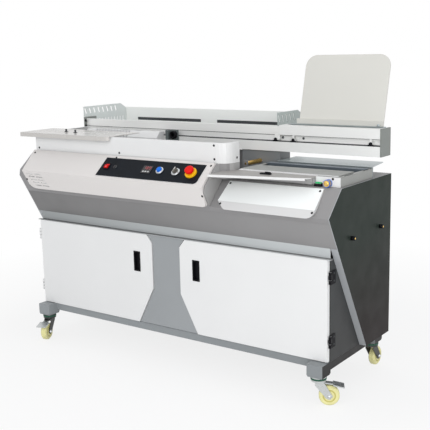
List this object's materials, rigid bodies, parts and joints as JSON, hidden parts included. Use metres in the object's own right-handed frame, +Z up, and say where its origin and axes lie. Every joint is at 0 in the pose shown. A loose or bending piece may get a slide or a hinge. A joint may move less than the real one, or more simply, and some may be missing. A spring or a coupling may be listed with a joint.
{
  "type": "thermal binding machine",
  "caption": "Floor-standing hot-melt book binding machine on casters: two-door cabinet, stepped sloping hood, sliding clamp with book rest, glue and nipping stations.",
  "frame": {"origin": "middle of the footprint of the bounding box, on the floor", "axes": "+X along the machine to its right-hand end, -Y to the front with the doors and controls, +Z up"},
  "size_m": [1.5906, 0.7668, 1.233],
  "materials": {
    "body_grey": "satin grey powder coat",
    "frame_grey": "satin light grey powder coat",
    "panel_dark": "dark green-grey powder coat",
    "cover_white": "white powder coat",
    "rest_grey": "warm light grey powder coat",
    "guard_grey": "pale grey powder coat",
    "rail_white": "painted and anodised aluminium",
    "steel": "brushed plate",
    "dark_steel": "dark cast housing",
    "zinc": "zinc plate",
    "wheel_cream": "cream polyurethane",
    "plastic_black": "matt",
    "plastic_red": "gloss",
    "plastic_yellow": "gloss",
    "plastic_blue": "gloss",
    "plastic_green": "gloss",
    "brass": "turned brass"
  },
  "bodies": {
    "machine": {"base_frame": "body_grey", "left_cabinet_wall": "panel_dark", "right_cabinet_wall": "panel_dark", "rear_panel": "body_grey", "centre_post": "frame_grey", "front_fascia": "frame_grey", "left_side_panel": "panel_dark", "right_side_panel": "panel_dark", "left_hood": "body_grey", "right_hood": "body_grey", "machine_deck": "body_grey", "control_cover": "cover_white", "control_plate": "plastic_black", "emergency_stop_base": "plastic_yellow", "right_front_cover": "cover_white", "splash_cover": "cover_white", "left_tray": "cover_white", "dust_hood": "cover_white", "beam_front_rail": "rail_white", "beam_rear_rail": "steel", "beam_left_end_plate": "frame_grey", "beam_right_end_plate": "frame_grey", "guard_left": "guard_grey", "guard_right": "guard_grey", "guard_back": "guard_grey", "milling_motor": "dark_steel", "glue_tank": "dark_steel", "rear_housing": "frame_grey", "nip_frame": "frame_grey", "rear_platen": "steel", "cover_table": "steel"},
    "left_door": {"left_door": "cover_white", "left_door_pull": "plastic_black"},
    "right_door": {"right_door": "cover_white", "right_door_pull": "plastic_black"},
    "power_switch": {"power_switch": "plastic_red"},
    "start_button": {"start_button": "plastic_blue"},
    "selector_switch": {"selector_switch": "zinc"},
    "emergency_stop_button": {"emergency_stop_button": "plastic_red"},
    "clamp_carriage": {"clamp_carriage": "cover_white", "book_rest": "rest_grey"},
    "clamp_jaw": {"clamp_jaw": "steel"},
    "milling_cutter": {"milling_cutter": "steel"},
    "glue_roller_1": {"glue_roller_1": "steel"},
    "glue_roller_2": {"glue_roller_2": "steel"},
    "cover_feed_roller": {"cover_feed_roller": "brass"},
    "nip_jaw": {"nip_jaw": "steel"},
    "nip_button": {"nip_button": "plastic_green"},
    "side_lay": {"side_lay": "plastic_black"},
    "thickness_knob": {"thickness_knob": "brass"},
    "front_left_caster": {"front_left_caster_fork": "zinc"},
    "front_left_wheel": {"front_left_caster_wheel": "wheel_cream"},
    "front_left_pedal": {"front_left_brake_pedal": "zinc"},
    "front_right_caster": {"front_right_caster_fork": "zinc"},
    "front_right_wheel": {"front_right_caster_wheel": "wheel_cream"},
    "front_right_pedal": {"front_right_brake_pedal": "zinc"},
    "rear_left_caster": {"rear_left_caster_fork": "zinc"},
    "rear_left_wheel": {"rear_left_caster_wheel": "wheel_cream"},
    "rear_right_caster": {"rear_right_caster_fork": "zinc"},
    "rear_right_wheel": {"rear_right_caster_wheel": "wheel_cream"}
  },
  "joints": [
    {"name": "left_door_hinge", "type": "hinge", "parent": "machine", "child": "left_door", "pos_m": [-0.71334, -0.27585, 0.349], "axis": [0, 0, -1], "range_deg": [0, 110]},
    {"name": "right_door_hinge", "type": "hinge", "parent": "machine", "child": "right_door", "pos_m": [0.74266, -0.27585, 0.349], "axis": [0, 0, 1], "range_deg": [0, 110]},
    {"name": "power_switch_rock", "type": "hinge", "parent": "machine", "child": "power_switch", "pos_m": [-0.24434, -0.3252, 0.81262], "axis": [1, 0, 0], "range_deg": [0, 6]},
    {"name": "start_button_press", "type": "slide", "parent": "machine", "child": "start_button", "axis": [0, 0.636, -0.7717], "range_m": [0, 0.003], "stiffness_N_per_m": 400},
    {"name": "selector_switch_turn", "type": "hinge", "parent": "machine", "child": "selector_switch", "pos_m": [0.10766, -0.32466, 0.81197], "axis": [0, -0.636, 0.7717], "range_deg": [-45, 45]},
    {"name": "emergency_stop_press", "type": "slide", "parent": "machine", "child": "emergency_stop_button", "axis": [0, 0.636, -0.7717], "range_m": [0, 0.004], "stiffness_N_per_m": 600},
    {"name": "clamp_carriage_travel", "type": "slide", "parent": "machine", "child": "clamp_carriage", "axis": [-1, 0, 0], "range_m": [0, 1]},
    {"name": "clamp_jaw_close", "type": "slide", "parent": "clamp_carriage", "child": "clamp_jaw", "axis": [0, -1, 0], "range_m": [0, 0.033]},
    {"name": "milling_cutter_spin", "type": "hinge", "parent": "machine", "child": "milling_cutter", "pos_m": [-0.46534, 0.12912, 0.846], "axis": [0, 0, 1], "continuous": true},
    {"name": "glue_roller_1_spin", "type": "hinge", "parent": "machine", "child": "glue_roller_1", "pos_m": [-0.15534, 0.12622, 0.816], "axis": [0, 1, 0], "continuous": true},
    {"name": "glue_roller_2_spin", "type": "hinge", "parent": "machine", "child": "glue_roller_2", "pos_m": [-0.05534, 0.12622, 0.816], "axis": [0, 1, 0], "continuous": true},
    {"name": "cover_feed_roller_spin", "type": "hinge", "parent": "machine", "child": "cover_feed_roller", "pos_m": [0.22266, 0.04112, 0.812], "axis": [0, 1, 0], "continuous": true},
    {"name": "nip_jaw_close", "type": "slide", "parent": "machine", "child": "nip_jaw", "axis": [0, -1, 0], "range_m": [0, 0.06]},
    {"name": "nip_button_press", "type": "slide", "parent": "machine", "child": "nip_button", "axis": [0, 0, -1], "range_m": [0, 0.0025], "stiffness_N_per_m": 400},
    {"name": "side_lay_slide", "type": "slide", "parent": "machine", "child": "side_lay", "axis": [1, 0, 0], "range_m": [-0.07, 0.15]},
    {"name": "thickness_knob_turn", "type": "hinge", "parent": "machine", "child": "thickness_knob", "pos_m": [0.70766, -0.23088, 0.7993], "axis": [0, -1, 0], "continuous": true},
    {"name": "front_left_swivel", "type": "hinge", "parent": "machine", "child": "front_left_caster", "pos_m": [-0.67534, -0.28945, 0.105], "axis": [0, 0, 1], "continuous": true},
    {"name": "front_left_wheel_spin", "type": "hinge", "parent": "front_left_caster", "child": "front_left_wheel", "pos_m": [-0.66234, -0.32515, 0.0375], "axis": [0.9397, 0.342, 0], "continuous": true},
    {"name": "front_left_pedal_press", "type": "hinge", "parent": "front_left_caster", "child": "front_left_pedal", "pos_m": [-0.67123, -0.30072, 0.084], "axis": [0.9397, 0.342, 0], "range_deg": [0, 8]},
    {"name": "front_right_swivel", "type": "hinge", "parent": "machine", "child": "front_right_caster", "pos_m": [0.70466, -0.28945, 0.105], "axis": [0, 0, 1], "continuous": true},
    {"name": "front_right_wheel_spin", "type": "hinge", "parent": "front_right_caster", "child": "front_right_wheel", "pos_m": [0.73757, -0.27044, 0.0375], "axis": [-0.5, 0.866, 0], "continuous": true},
    {"name": "front_right_pedal_press", "type": "hinge", "parent": "front_right_caster", "child": "front_right_pedal", "pos_m": [0.71505, -0.28345, 0.084], "axis": [-0.5, 0.866, 0], "range_deg": [0, 8]},
    {"name": "rear_left_swivel", "type": "hinge", "parent": "machine", "child": "rear_left_caster", "pos_m": [-0.67534, 0.14212, 0.105], "axis": [0, 0, 1], "continuous": true},
    {"name": "rear_left_wheel_spin", "type": "hinge", "parent": "rear_left_caster", "child": "rear_left_wheel", "pos_m": [-0.6655, 0.17883, 0.0375], "axis": [-0.9659, 0.2588, 0], "continuous": true},
    {"name": "rear_right_swivel", "type": "hinge", "parent": "machine", "child": "rear_right_caster", "pos_m": [0.70466, 0.14212, 0.105], "axis": [0, 0, 1], "continuous": true},
    {"name": "rear_right_wheel_spin", "type": "hinge", "parent": "rear_right_caster", "child": "rear_right_wheel", "pos_m": [0.70466, 0.18012, 0.0375], "axis": [-1, 0, 0], "continuous": true}
  ],
  "couplings": [
    {"joint": "glue_roller_2_spin", "follows": "glue_roller_1_spin", "ratio": 1}
  ]
}
